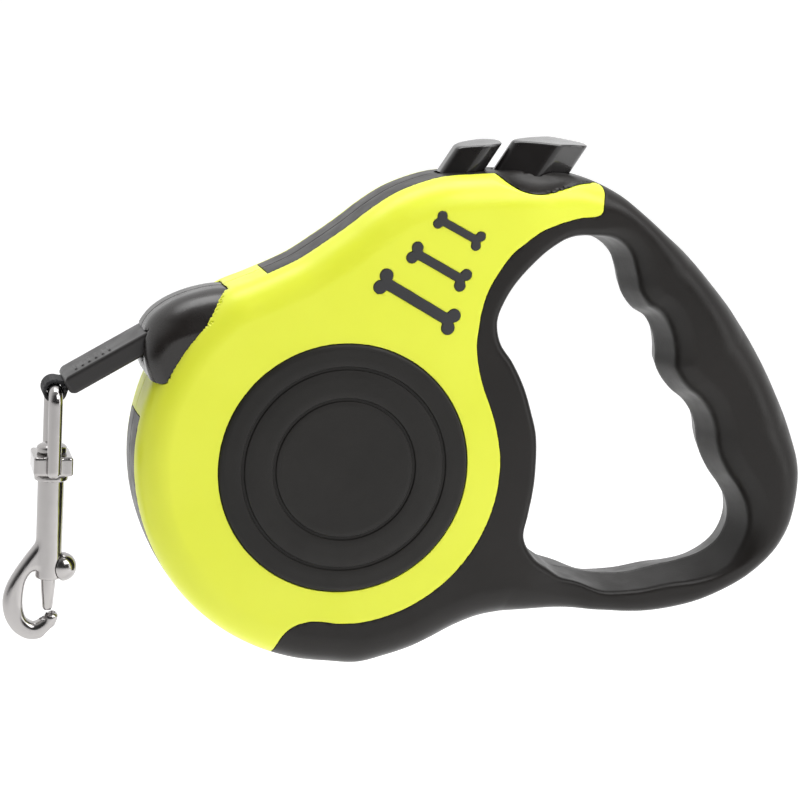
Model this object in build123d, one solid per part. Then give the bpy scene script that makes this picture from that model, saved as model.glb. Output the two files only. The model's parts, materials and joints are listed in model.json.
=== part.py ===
from build123d import *
import os
from math import acos, atan2, cos, hypot, pi, radians, sin, tan

# Retractable tape leash: round reel case, looped handle, two thumb buttons and a swivel snap.
# Everything is drawn about the reel's axis (+X to the handle, +Y to the back, +Z up), in millimetres,
# and is moved on export so that the part's origin is the middle of the hand grip.

os.makedirs("parts", exist_ok=True)

# ---- driving dimensions -------------------------------------------------------------------------
GRIP_CENTRE = (94.0, 0.0, 24.0)     # middle of the hand grip, from the reel's axis

CASE_R = 50.3                       # round case
HALF_T = 15.0                       # half of the case's thickness
GRIP_HALF_T = 12.2                  # half of the handle's thickness
CASE_EDGE_R = 7.0
FRAME_EDGE_R = 6.0
LOOP_EDGE_R = 3.0
LINING_STEP = 3.0
COVER_WALL = 1.6
SHELL_WALL = 2.6
BELT_HALF_W = 7.4                   # black strip round the rim, between the two covers
POCKET_HALF_T = 9.5

CAVITY_R = 46.9
CAVITY_HALF_T = 11.4
CAVITY_EDGE_R = 4.0
GUARD_R = 48.6                      # outside of the wall round the reel, within the frame

CAP_R = 30.2
CAP_FACE = 15.5                     # where the cap's outer ring ends
CAP_CROWN = 0.4
CAP_GROOVES = (24.4, 16.9)

TAPE_LENGTH = 5000.0
TAPE_T = 0.8
TAPE_W = 12.0
TAPE_TURNS = 24.75
HUB_R = (TAPE_LENGTH / (pi * TAPE_TURNS) - TAPE_TURNS * TAPE_T) / 2
WINDING_R = HUB_R + TAPE_TURNS * TAPE_T
AXLE_R = 4.0
RUNNING = 0.06                      # radial clearance of a running fit
TEETH = 24
TOOTH_ROOT_R = 43.0
TOOTH_TIP_R = 45.5
RATCHET_Y = (6.2, 9.2)
FLANGE_Y = (-7.8, -6.2)
FLANGE_R = 43.6

BUTTON_TILT = 31.54                 # the buttons slide along this lean from the vertical, towards +X
BRAKE_TRAVEL = 4.0
LOCK_TRAVEL = 2.5
STEM_Y = (6.3, 9.1)
STEM_HALF_W = 3.0
PAWL_TIP_R = 47.3
WELL_CLEAR = 0.2
WELL_WALL = 1.4

TAPE_ANGLE = 30.9                   # the tape leaves downwards to the left at this slope
EYE_X = -67.7
EYE_Z = 15.8
SLEEVE_T = 4.5
SLEEVE_W = 14.6
SLEEVE_LENGTH = 24.0
SLEEVE_END = 2.9                    # from the eye's bar back to the sleeve's end
EYE_WIRE_R = 1.65
EYE_LEG_Y = 6.3
NOZZLE_HALF_T = 12.0

BARREL_R = 3.15
BARREL_TOP = -5.9
BARREL_BOTTOM = -30.3
BOLT_R = 1.8
BOLT_TIP = -38.4
KNOB_R = 3.5
KNOB_Z = -27.6
HOOK_HALF_T = 2.2

SCREW_R = 1.5
SCREW_HEAD_R = 2.8
BOSS_R = 3.6
SCREWS = [(8.0, 57.0), (74.0, 54.5), (100.0, 22.0), (110.0, -18.0), (47.0, -31.3)]

# ---- outlines, as corners that are rounded as far as their runs allow -----------------------------
FRAME = [(-22, 30), (-19, 45.5), (-3, 57), (10, 67), (24, 71.6), (40, 72.6), (55, 71.4), (69, 66.2),
         (84, 55.2), (98, 41.5), (110, 21.5), (119, 2.5), (120.6, -10), (116.5, -22.5), (106, -31.3),
         (92, -35.5), (76, -37.8), (60, -36.6), (44, -36.2), (30, -40.5), (20, -49), (10, -40), (0, 0)]
LOOP = [(44.8, -16), (47.8, 0), (45.6, 14), (40, 24.5), (34.2, 35.5), (39.5, 47), (48, 55.5),
        (58, 58.6), (67, 53.6), (70, 43), (76.5, 37.5), (80.3, 30.5), (83, 20.5), (90.5, 14.5),
        (93.2, 4.5), (102.2, -9), (103.4, -17), (98.2, -23.4), (87, -27.6), (74, -30.2), (60, -30.6),
        (49.5, -25.6)]
COVER = [(-70, 90), (-70, -70), (-15.5, -70), (-14.6, -46), (-12.5, -39.4), (-6, -37.6), (3, -38.8),
         (14.5, -36.6), (26.5, -30), (35.2, -18.2), (39.3, -4), (38.3, 9), (33.6, 20.5), (30.8, 32),
         (33, 44.5), (40, 55.4), (49.5, 60.4), (59.9, 62.2), (60.2, 70.2), (53, 71.2), (47.5, 67.6),
         (40, 67.4), (34.5, 71.4), (30, 90)]
NOZZLE = [(-27.3, 43.4), (-28.6, 38), (-34.5, 30.2), (-38.5, 25), (-42.5, 20.2), (-46.5, 20),
          (-48, 25.5), (-47, 31), (-48.6, 34), (-46.4, 38.6), (-39.5, 42), (-32.5, 43.6)]
HOOK = [(-67.7, -19), (-70.4, -21), (-75.2, -27), (-78, -33), (-78.4, -39), (-74.6, -45),
        (-69, -46), (-65, -42.2), (-65.2, -38.8), (-68.6, -38.8), (-68.9, -40.6), (-71.2, -41.6),
        (-73.9, -39.5), (-73.9, -31), (-71.6, -28.6), (-67.7, -28.4)]


# ---- drawing helpers --------------------------------------------------------------------------
def rounded_outline(corners, share=0.49, largest=400.0):
    """A closed face in XZ. Each corner is rounded as far as its runs allow."""
    radii = []
    count = len(corners)
    for i in range(count):
        before, here, after = (Vector(*corners[(i + k) % count]) for k in (-1, 0, 1))
        turn = radians((here - before).get_angle(after - here))
        run = min((here - before).length, (after - here).length)
        radii.append(min(largest, share * run / tan(turn / 2)))
    return make_face(Plane.XZ * FilletPolyline(*corners, radius=radii, close=True))


def grown(corners, distance):
    """The corners of an outline moved outwards, so that each run shifts by the distance."""
    points = [Vector(*c) for c in corners]
    nexts = points[1:] + points[:1]
    turn = 1 if sum(a.X * b.Y - b.X * a.Y for a, b in zip(points, nexts)) > 0 else -1
    runs = [(b - a).normalized() for a, b in zip(points, nexts)]
    normals = [Vector(r.Y, -r.X) * turn for r in runs]
    moved = []
    for i, point in enumerate(points):
        shift = normals[i - 1] + normals[i]
        point = point + shift * (distance / (1 + normals[i - 1].dot(normals[i])))
        moved.append((point.X, point.Y))
    return moved


def straight_outline(corners):
    """A closed face in XZ with sharp corners."""
    return make_face(Plane.XZ * Polyline(*corners, close=True))


def slab(face, front, back):
    """A face in XZ thickened from y = front to y = back."""
    return extrude(Pos(0, back, 0) * face, back - front, dir=(0, -1, 0))


def disc(radius, front, back, x=0.0, z=0.0):
    """A cylinder along Y."""
    return Pos(x, (front + back) / 2, z) * Cylinder(radius, back - front, rotation=(90, 0, 0))


def tube(outer, inner, front, back, x=0.0, z=0.0):
    """A ring along Y."""
    return disc(outer, front, back, x, z) - disc(inner, front - 1, back + 1, x, z)


def block(x, y, z):
    """A box from its three (low, high) pairs."""
    return Pos((x[0] + x[1]) / 2, (y[0] + y[1]) / 2, (z[0] + z[1]) / 2) * Box(
        x[1] - x[0], y[1] - y[0], z[1] - z[0])


def mirrored(solid):
    """The same piece on the other side of the mid-plane y = 0."""
    return mirror(solid, about=Plane.XZ)


def export(node, *solids):
    """Writes one node, moved so that the hand grip's middle is the origin."""
    place = Pos(*(-c for c in GRIP_CENTRE))
    moved = [place * s for solid in solids for s in solid.solids()]
    whole = moved[0] if len(moved) == 1 else Compound(children=moved)
    export_step(whole, "parts/" + node + ".step")


# Along a button's travel: x runs across it towards the handle, y to the back, z away from the reel.
lean = radians(BUTTON_TILT)
BUTTONS = Plane(origin=(0, 0, 0), x_dir=(cos(lean), 0, -sin(lean)), z_dir=(sin(lean), 0, cos(lean)))

# Along the tape's way out: z runs outwards from the eye's bar, y across the tape, x up off its face.
slope = radians(TAPE_ANGLE)
OUT = (-cos(slope), 0, -sin(slope))
TAPE_WAY = Plane(origin=(EYE_X, 0, EYE_Z), x_dir=(-sin(slope), 0, cos(slope)), z_dir=OUT)


def on(plane, x, y, z):
    """A box in a plane's own directions, from its three (low, high) pairs."""
    return plane * block(x, y, z)


# ---- the outer form -------------------------------------------------------------------------------
def lies_on_loop(edge):
    """True for the edges round the finger loop."""
    c = edge.center()
    return 31 < c.X < 105.2 and -33.2 < c.Z < 61.0


def taper(inset):
    """What is cut off both faces so that the handle is thinner than the case."""
    near, far = HALF_T - inset, GRIP_HALF_T - inset
    side = Polyline((41, near), (66, far), (140, far), (140, near + 5), (41, near + 5), close=True)
    wedge = Pos(0, 0, -80) * extrude(make_face(side), 200)
    return wedge + mirrored(wedge)


def rounded_case(inset):
    """The round case alone, drawn in by inset."""
    half = HALF_T - inset
    case = disc(CASE_R - inset, -half, half)
    return fillet(case.edges().filter_by(GeomType.CIRCLE), CASE_EDGE_R - inset)


def outer_form():
    """The closed outer form of case and handle."""
    loop = rounded_outline(LOOP)
    frame = slab(rounded_outline(FRAME) - loop, -HALF_T, HALF_T)
    for on_loop, radius in ((False, FRAME_EDGE_R), (True, LOOP_EDGE_R)):
        rims = [e for e in frame.edges() if abs(abs(e.center().Y) - HALF_T) < 0.001]
        frame = fillet([e for e in rims if lies_on_loop(e) == on_loop], radius)
    return (rounded_case(0) - slab(loop, -HALF_T, HALF_T)) + frame - taper(0)


def lining_form():
    """What the covers sit on: the outer form less the cover's wall, stepped in along the edges."""
    loop = rounded_outline(grown(LOOP, COVER_WALL))
    half = HALF_T - COVER_WALL
    frame = slab(rounded_outline(grown(FRAME, -COVER_WALL)) - loop, -half + LINING_STEP,
                 half - LINING_STEP)
    frame += slab(rounded_outline(grown(FRAME, -COVER_WALL - LINING_STEP)) - loop, -half, half)
    return (rounded_case(COVER_WALL) - slab(loop, -half, half)) + frame - taper(COVER_WALL)


def hollow():
    """The room inside: the reel's round cavity, and the pocket in the frame and handle."""
    cavity = disc(CAVITY_R, -CAVITY_HALF_T, CAVITY_HALF_T)
    cavity = fillet(cavity.edges().filter_by(GeomType.CIRCLE), CAVITY_EDGE_R)
    pocket = rounded_outline(grown(FRAME, -SHELL_WALL)) - rounded_outline(grown(LOOP, SHELL_WALL))
    pocket = slab(pocket, -POCKET_HALF_T, POCKET_HALF_T) - disc(GUARD_R, -20, 20)
    return cavity, pocket


# ---- the buttons and their wells ------------------------------------------------------------------
BRAKE_X = (-8.6, 7.4)
LOCK_X = (-18.9, -10.4)
BRAKE_FLOOR = 74.0
LOCK_FLOOR = 67.2


def lens(low, high, middle, half_w, end_w, z0, z1):
    """A button's body: pointed at both ends and widest at its facet, seen from above."""
    corners = [(low, -end_w), (middle, -half_w), (high, -end_w), (high, end_w), (middle, half_w),
               (low, end_w)]
    return BUTTONS * (Pos(0, 0, z0) * extrude(make_face(Polyline(*corners, close=True)), z1 - z0))


def brake_button():
    """The large button, cut level on top, with a blind pocket for its spring."""
    cap = lens(*BRAKE_X, -0.3, 7.1, 4.6, 79.0, 104.0)
    cap -= block((0, 90), (-20, 20), (78.2, 120))
    cap -= BUTTONS * (Pos(-1.0, -1.0, 81.0) * Cylinder(3.3, 9.0))
    return cap


def brake_stem():
    """The flat stem under the brake button, with the pawl at its tip and the lock's notch."""
    stem = on(BUTTONS, (-STEM_HALF_W, STEM_HALF_W), STEM_Y, (52, 79))
    tip = Polyline((-STEM_HALF_W, 52), (-1.9, PAWL_TIP_R), (1.9, PAWL_TIP_R), (STEM_HALF_W, 52),
                   close=True)
    pawl = extrude(Plane(origin=BUTTONS.location.position, x_dir=BUTTONS.x_dir,
                         z_dir=(0, -1, 0)) * make_face(tip), STEM_Y[1] - STEM_Y[0])
    stem += Pos(0, STEM_Y[1], 0) * pawl
    return stem - on(BUTTONS, (-STEM_HALF_W - 1, -2.2), (5, 10), (60.5, 71))


def lock_button():
    """The small button, with the latch arm that reaches the brake stem's notch."""
    cap = lens(*LOCK_X, -14.0, 6.2, 3.6, 71.4, 90.0)
    cap -= block((0, 60), (-20, 20), (77.2, 120))
    cap -= BUTTONS * (Pos(-14.8, -0.6, 73.0) * Cylinder(2.9, 9.0))
    return cap


def lock_latch():
    """The latch arm under the lock button."""
    arm = on(BUTTONS, (-12.6, -11.0), (6.5, 8.9), (64.0, 71.4))
    arm += on(BUTTONS, (-12.6, -2.7), (6.5, 8.9), (64.0, 66.0))
    return arm + on(BUTTONS, (-12.6, -11.0), (3.0, 8.9), (70.0, 71.4))


def well(span, floor):
    """The open shaft that a button slides in."""
    return on(BUTTONS, (span[0] - WELL_CLEAR, span[1] + WELL_CLEAR),
              (-BELT_HALF_W, BELT_HALF_W), (floor, 110))


def well_walls(span, floor):
    """The walls and floor round a button's shaft."""
    grown = WELL_CLEAR + WELL_WALL
    return on(BUTTONS, (span[0] - grown, span[1] + grown),
              (-BELT_HALF_W - 2.0, BELT_HALF_W + 2.0), (floor - WELL_WALL, 110))


def passages():
    """The slots that the stem, the latch and their travel need through the walls."""
    stem = on(BUTTONS, (-STEM_HALF_W - 0.2, STEM_HALF_W + 0.2), (6.1, 9.3), (40, 80))
    latch = on(BUTTONS, (-12.8, -10.8), (6.3, 9.1), (58, 74))
    reach = on(BUTTONS, (-12.8, -2.5), (6.3, 9.1), (60.5, 67))
    return stem + latch + reach


# ---- casing ---------------------------------------------------------------------------------------
def nozzle_form():
    """The mouthpiece as one block, with rounded sides."""
    whole = slab(rounded_outline(NOZZLE), -NOZZLE_HALF_T, NOZZLE_HALF_T)
    rims = [e for e in whole.edges() if abs(abs(e.center().Y) - NOZZLE_HALF_T) < 0.001]
    return fillet(rims, 1.6)


def mouth():
    """The flat channel that the sleeve and the tape run in."""
    sleeve = on(TAPE_WAY, (-SLEEVE_T / 2 - 0.35, SLEEVE_T / 2 + 0.35),
                (-SLEEVE_W / 2 - 0.35, SLEEVE_W / 2 + 0.35),
                (-SLEEVE_END - SLEEVE_LENGTH - 0.5, 0))
    tape = on(TAPE_WAY, (-4.6, 1.4), (-TAPE_W / 2 - 0.6, TAPE_W / 2 + 0.6), (-47, -20))
    return sleeve + tape


def cover_region():
    """Where the coloured cover lies on the front: off the belt, and right round beside the mouth."""
    region = slab(rounded_outline(COVER, 0.45), -30, -BELT_HALF_W)
    beside = straight_outline([(-10, 30), (-28, 60), (-90, 60), (-90, 12), (-30, 10)])
    return region + slab(beside, -BELT_HALF_W - 1, -0.05)


def bone(ends, lobe_r, shaft, depth):
    """One bone-shaped inlay: a shaft with two lobes at each end."""
    left, right = ends
    middle = [((a[0][0] + a[1][0]) / 2, (a[0][1] + a[1][1]) / 2) for a in (left, right)]
    (x0, z0), (x1, z1) = middle
    length = ((x1 - x0) ** 2 + (z1 - z0) ** 2) ** 0.5
    across = (-(z1 - z0) / length * shaft / 2, (x1 - x0) / length * shaft / 2)
    face = straight_outline([(x0 + across[0], z0 + across[1]), (x1 + across[0], z1 + across[1]),
                             (x1 - across[0], z1 - across[1]), (x0 - across[0], z0 - across[1])])
    solid = slab(face, *depth)
    for x, z in (*left, *right):
        solid += disc(lobe_r, *depth, x, z)
    return solid


BONES = [
    ((((7.7, 46.6), (6.3, 43.8)), ((24.6, 37.4), (23.3, 34.4))), 1.6, 2.6),
    ((((14.8, 53.4), (13.6, 51.0)), ((27.0, 47.2), (25.6, 44.6))), 1.35, 2.1),
    ((((20.4, 61.0), (19.4, 59.2)), ((30.0, 56.4), (28.9, 54.2))), 1.15, 1.8),
]


def bones(depth):
    return [bone(ends, lobe_r, shaft, depth) for ends, lobe_r, shaft in BONES]


def cap():
    """The front centre cap: a shallow dome of three steps, with two grooves between them."""
    outer, inner = CAP_GROOVES
    whole = tube(CAP_R, outer, -CAP_FACE, -13.4)
    whole += tube(outer - 0.7, inner, -CAP_FACE - CAP_CROWN / 2, -13.4)
    whole += disc(inner - 0.7, -CAP_FACE - CAP_CROWN, -13.4)
    whole += disc(outer + 1, -CAP_FACE + 0.6, -13.4)
    rim = [e for e in whole.edges().filter_by(GeomType.CIRCLE)
           if abs(e.radius - CAP_R) < 0.01 and e.center().Y < -14]
    return fillet(rim, 0.8)


def screw(x, z):
    """A pan-head screw driven from the back."""
    thread = disc(SCREW_R, -6.5, 8.5, x, z)
    head = disc(SCREW_HEAD_R, 8.5, 10.3, x, z)
    cross = block((x - 0.35, x + 0.35), (9.4, 11), (z - 1.6, z + 1.6))
    cross += block((x - 1.6, x + 1.6), (9.4, 11), (z - 0.35, z + 0.35))
    return thread + head - cross


def half_shell(half, taken, on_front):
    """One black half shell: hollowed, with its bosses, button wells, guides and screw holes."""
    sheet = Plane.XZ * Rectangle(400, 400)
    side = slab(sheet, -40, 0) if on_front else slab(sheet, 0, 40)
    shell = (half & side) - taken
    for room in hollow():
        shell -= room
    for x, z in SCREWS:
        shell += disc(BOSS_R, -POCKET_HALF_T - 1, POCKET_HALF_T + 1, x, z) & side
    for span, floor in ((BRAKE_X, BRAKE_FLOOR), (LOCK_X, LOCK_FLOOR)):
        shell += (well_walls(span, floor) & lining_form()) & side
    holder = tube(6.0, AXLE_R, -12.6, -9.6)
    shell += holder if on_front else mirrored(holder)
    for cut in (nozzle_form(), mouth(), passages(), disc(AXLE_R, -12.6, 12.6),
                well(BRAKE_X, BRAKE_FLOOR), well(LOCK_X, LOCK_FLOOR)):
        shell -= cut
    for x, z in SCREWS:
        shell -= disc(SCREW_R, -6.6, 16, x, z)
        shell -= disc(SCREW_HEAD_R + 0.1, 8.5, 16, x, z)
    return largest(shell)


def casing():
    """The two black half shells, the coloured cover for the front and the mouthpiece's halves."""
    form = outer_form()
    cover = (form & cover_region()) - lining_form()
    front = half_shell(form, cover, True)
    back = half_shell(form, mirrored(cover), False)
    for piece in (*bones((-20, -14.1)), nozzle_form(), disc(CAP_R + 0.05, -20, -13.4), mouth()):
        cover -= piece
    heart = nozzle_form() - mouth() - disc(CAVITY_R, -CAVITY_HALF_T, CAVITY_HALF_T)
    sheet = Plane.XZ * Rectangle(400, 400)
    return front, back, cover, heart & slab(sheet, -40, 0), heart & slab(sheet, 0, 40)


def largest(shape):
    """The one solid that matters, where a cut has left slivers."""
    return max(shape.solids(), key=lambda s: s.volume)


# ---- the reel -------------------------------------------------------------------------------------
def ratchet():
    """The back flange, with square-cut teeth round its edge."""
    wheel = disc(TOOTH_TIP_R, *RATCHET_Y)
    pitch = 2 * pi / TEETH
    start = pi / 2 - lean
    gap = [(TOOTH_ROOT_R, -2.5), (TOOTH_TIP_R + 1, -3.6), (TOOTH_TIP_R + 1, 3.6), (TOOTH_ROOT_R, 2.5)]
    for i in range(TEETH):
        a = start + i * pitch
        corners = [(r * cos(a) - t * sin(a), r * sin(a) + t * cos(a)) for r, t in gap]
        wheel -= slab(straight_outline(corners), RATCHET_Y[0] - 1, RATCHET_Y[1] + 1)
    return wheel


def reel_drum():
    """The drum: ratchet flange, front flange and the hub that holds the spring, open at the front."""
    drum = ratchet() + disc(FLANGE_R, *FLANGE_Y) + disc(HUB_R - 0.02, FLANGE_Y[0], RATCHET_Y[1])
    drum -= disc(HUB_R - 1.8, FLANGE_Y[0] - 1, RATCHET_Y[0])
    for i in range(6):
        a = 2 * pi * i / 6 + pi / 6
        drum -= disc(5.2, FLANGE_Y[0] - 1, RATCHET_Y[1] + 1, 32.5 * cos(a), 32.5 * sin(a))
    return drum - disc(AXLE_R + 1.2, -20, 20)


def power_spring():
    """The flat recoil spring, from the arbor out to the hub's wall, drawn as one spiral strip."""
    turns, inner, outer, strip = 9, 7.0, HUB_R - 2.5, 0.5
    steps = 12 * turns
    polar = [(inner + (outer - inner) * i / steps, 2 * pi * i / 12) for i in range(steps + 1)]
    near = Spline([(r * cos(a), r * sin(a)) for r, a in polar])
    far = Spline([((r + strip) * cos(a), (r + strip) * sin(a)) for r, a in polar])
    edges = [near, Line(near @ 1, far @ 1), far, Line(far @ 0, near @ 0)]
    return slab(make_face([Plane.XZ * e for e in edges]), -4.8, 4.8)


def tape_lead():
    """The tape from the winding to the mouth: straight off the coil, then bent on the nozzle's lip."""
    bend = TAPE_WAY.from_local_coords(Vector(0, 0, -34.0))
    lip = TAPE_WAY.from_local_coords(Vector(0, 0, -SLEEVE_END - SLEEVE_LENGTH - 0.6))
    radius = WINDING_R + 0.45 + TAPE_T / 2
    leaves = atan2(bend.Z, bend.X) - acos(radius / hypot(bend.X, bend.Z))
    route = [Vector(radius * cos(leaves), radius * sin(leaves)), Vector(bend.X, bend.Z),
             Vector(lip.X, lip.Z)]
    runs = [(b - a).normalized() for a, b in zip(route, route[1:])]
    sides = [runs[0].rotate(Axis.Z, 90), (runs[0] + runs[1]).normalized().rotate(Axis.Z, 90),
             runs[1].rotate(Axis.Z, 90)]
    upper = [p + n * (TAPE_T / 2) for p, n in zip(route, sides)]
    lower = [p - n * (TAPE_T / 2) for p, n in zip(route, sides)]
    outline = straight_outline([(p.X, p.Y) for p in upper + lower[::-1]])
    return slab(outline, -TAPE_W / 2, TAPE_W / 2)


# ---- the tape's end -------------------------------------------------------------------------------
def stop_sleeve():
    """The flat moulding that stops the tape at the mouth, ribbed on top and slotted for the tape."""
    length = (-SLEEVE_END - SLEEVE_LENGTH, -SLEEVE_END)
    sleeve = on(TAPE_WAY, (-SLEEVE_T / 2, SLEEVE_T / 2), (-SLEEVE_W / 2, SLEEVE_W / 2), length)
    sleeve = chamfer(sleeve.edges(), 0.4)
    sleeve -= on(TAPE_WAY, (-0.45, 0.45), (-TAPE_W / 2 - 0.1, TAPE_W / 2 + 0.1),
                 (length[0] - 1, length[1] + 1))
    for i in range(6):
        z = -18.0 + 1.8 * i
        sleeve -= on(TAPE_WAY, (SLEEVE_T / 2 - 0.3, 9), (-4.5, 4.5), (z - 0.4, z + 0.4))
    return sleeve


def tape_end():
    """The tape inside the sleeve, looped round the eye's bar beyond it."""
    hole = EYE_WIRE_R + 0.3
    ring = TAPE_WAY * (Rot(90, 0, 0) * (Cylinder(hole + TAPE_T, 7.6) - Cylinder(hole, 10)))
    inner = on(TAPE_WAY, (-0.4, 0.4), (-TAPE_W / 2, TAPE_W / 2),
               (-SLEEVE_END - SLEEVE_LENGTH, -SLEEVE_END))
    neck = on(TAPE_WAY, (-1.2, 1.2), (-3.8, 3.8), (-SLEEVE_END, -hole - 0.4))
    return ring + inner + neck


# ---- the snap -------------------------------------------------------------------------------------
def turned(radius, low, high):
    """A cylinder along the snap's upright axis."""
    return Pos(EYE_X, 0, (low + high) / 2) * Cylinder(radius, high - low)


def snap_eye():
    """The U-shaped eye and the block at its foot, in one casting."""
    corner = 2.2
    path = Plane.YZ * FilletPolyline((-EYE_LEG_Y, -3.6), (-EYE_LEG_Y, EYE_Z), (EYE_LEG_Y, EYE_Z),
                                     (EYE_LEG_Y, -3.6), radius=corner)
    start = Plane(origin=(0, -EYE_LEG_Y, -3.6), z_dir=(0, 0, 1))
    eye = Pos(EYE_X, 0, 0) * sweep(start * Circle(EYE_WIRE_R), path=path)
    base = block((EYE_X - 5.2, EYE_X + 5.2), (-EYE_LEG_Y, EYE_LEG_Y), (-4.6, 0.2))
    base = chamfer(base.edges(), 0.5)
    return eye + base - turned(1.8 + RUNNING, -8, 4)


def snap_body():
    """The barrel with its collar and bolt bore, and the curved hook cast on its side."""
    barrel = turned(BARREL_R, BARREL_BOTTOM, BARREL_TOP) + turned(4.0, BARREL_TOP - 0.9, BARREL_TOP)
    hook = slab(rounded_outline(HOOK, 0.45), -HOOK_HALF_T, HOOK_HALF_T)
    barrel += hook
    bore = turned(BOLT_R + RUNNING, BARREL_BOTTOM - 3, -13.5)
    slot = block((EYE_X, EYE_X + 6), (-0.9, 0.9), (KNOB_Z - 3.6, -15.6))
    return barrel - bore - slot


def swivel_rivet():
    """The stem that the snap turns on, headed over above the eye's block."""
    stem = turned(1.8, BARREL_TOP, 0.6)
    head = turned(3.6, 0.5, 2.9)
    rims = [e for e in head.edges().filter_by(GeomType.CIRCLE) if e.center().Z > 2]
    return stem + fillet(rims, 1.4)


def snap_bolt():
    """The spring bolt, tapered below the barrel, with its ball-shaped thumb knob."""
    rod = turned(BOLT_R, BARREL_BOTTOM - 0.6, -22.0)
    tip = Pos(EYE_X, 0, (BARREL_BOTTOM - 0.6 + BOLT_TIP) / 2) * Cone(
        1.25, BOLT_R, BARREL_BOTTOM - 0.6 - BOLT_TIP)
    neck = block((EYE_X, EYE_X + 4.0), (-0.7, 0.7), (KNOB_Z - 1.4, KNOB_Z + 1.4))
    ball = Pos(EYE_X + 3.2, 0, KNOB_Z) * Sphere(KNOB_R)
    ball -= Pos(EYE_X, 0, KNOB_Z) * Cylinder(BARREL_R + 0.15, 30)
    return rod + tip + neck + largest(ball)


def coil(plane, radius, wire, low, high, turns):
    """A helical compression spring along a plane's z."""
    path = Helix(pitch=(high - low - wire) / turns, height=high - low - wire, radius=radius)
    start = Plane(origin=path @ 0, z_dir=path % 0)
    return plane * (Pos(0, 0, low + wire / 2) * sweep(start * Circle(wire / 2), path=path))


# ---- writing every node ---------------------------------------------------------------------------
front_case, back_case, front_cover, nozzle_front, nozzle_back = casing()
export("front_case", largest(front_case))
export("back_case", largest(back_case))
export("front_cover", largest(front_cover))
export("back_cover", largest(mirrored(front_cover)))
export("nozzle_front", largest(nozzle_front))
export("nozzle_back", largest(nozzle_back))
export("front_cap", cap())
export("back_cap", mirrored(cap()))
inlays = bones((-15.3, -14.1))
export("front_bone_inlays", *inlays)
export("back_bone_inlays", *(mirrored(b) for b in inlays))
export("casing_screws", *(screw(x, z) for x, z in SCREWS))

export("axle", disc(AXLE_R, -12.6, 12.6))
export("spring_arbor", tube(6.6, AXLE_R, -4.9, 4.9))
export("tape_lead", tape_lead())
export("reel_drum", reel_drum())
export("spring_cover", tube(HUB_R - 1.85, AXLE_R + 1.2, FLANGE_Y[0], -5.2))
export("reel_bushes", *(tube(AXLE_R + 1.2, AXLE_R + RUNNING, *y)
                        for y in (RATCHET_Y, (FLANGE_Y[0], -5.2))))
export("power_spring", power_spring())
export("tape_winding", tube(WINDING_R, HUB_R, -TAPE_W / 2, TAPE_W / 2))

export("brake_button", brake_button())
export("brake_stem", brake_stem())
export("brake_spring", coil(BUTTONS * Pos(-1.0, -1.0, 0), 2.2, 0.6, BRAKE_FLOOR, 85.4, 6))
export("lock_button", lock_button())
export("lock_latch", lock_latch())
export("lock_spring", coil(BUTTONS * Pos(-14.8, -0.6, 0), 1.9, 0.5, LOCK_FLOOR, 77.4, 6))

export("stop_sleeve", stop_sleeve())
export("tape_end", tape_end())
export("snap_eye", snap_eye())
export("snap_body", snap_body())
export("swivel_rivet", swivel_rivet())
export("snap_bolt", snap_bolt())
export("bolt_spring", coil(Plane(origin=(EYE_X, 0, 0)), 1.25, 0.45, -21.9, -13.6, 6))
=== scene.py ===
import json
import math

import bpy
import bmesh
import numpy as np
from mathutils import Matrix, Vector


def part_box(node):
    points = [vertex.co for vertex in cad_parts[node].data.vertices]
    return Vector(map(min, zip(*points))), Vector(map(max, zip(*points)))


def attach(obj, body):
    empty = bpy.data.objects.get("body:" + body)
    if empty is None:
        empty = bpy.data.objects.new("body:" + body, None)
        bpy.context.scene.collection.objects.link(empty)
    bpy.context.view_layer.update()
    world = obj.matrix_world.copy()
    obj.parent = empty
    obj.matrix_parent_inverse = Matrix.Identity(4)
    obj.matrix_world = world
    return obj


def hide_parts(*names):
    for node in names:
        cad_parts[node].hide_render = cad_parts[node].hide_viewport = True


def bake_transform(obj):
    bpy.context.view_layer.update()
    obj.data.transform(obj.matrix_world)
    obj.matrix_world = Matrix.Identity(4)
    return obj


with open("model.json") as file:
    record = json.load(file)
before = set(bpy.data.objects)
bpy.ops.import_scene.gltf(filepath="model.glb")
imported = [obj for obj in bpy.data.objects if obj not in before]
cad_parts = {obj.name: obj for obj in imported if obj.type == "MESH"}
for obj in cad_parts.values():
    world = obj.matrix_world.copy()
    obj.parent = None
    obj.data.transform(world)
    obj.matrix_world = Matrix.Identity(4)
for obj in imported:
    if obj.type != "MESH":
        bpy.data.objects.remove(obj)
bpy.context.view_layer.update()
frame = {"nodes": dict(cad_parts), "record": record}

# The casing's outlines are drawn in millimetres about the reel's axis; REEL places that axis in the frame.
MM = 0.001
lo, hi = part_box("axle")
REEL = (lo + hi) / 2


def place(points):
    """Reel-centred millimetres to the frame's metres."""
    return np.asarray(points, float) * MM + np.array(REEL)


# ---- camera and stage -----------------------------------------------------------------------------
CAMERA_AT = (-120.832, -558.447, 124.136)
CAMERA_TURN = (-13.8, 10.85, 3.3)           # azimuth, elevation and roll in degrees
LENS, SENSOR = 108.0, 36.0
FLOOR_HALF, FLOOR_DROP = 60.0, 0.13


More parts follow.
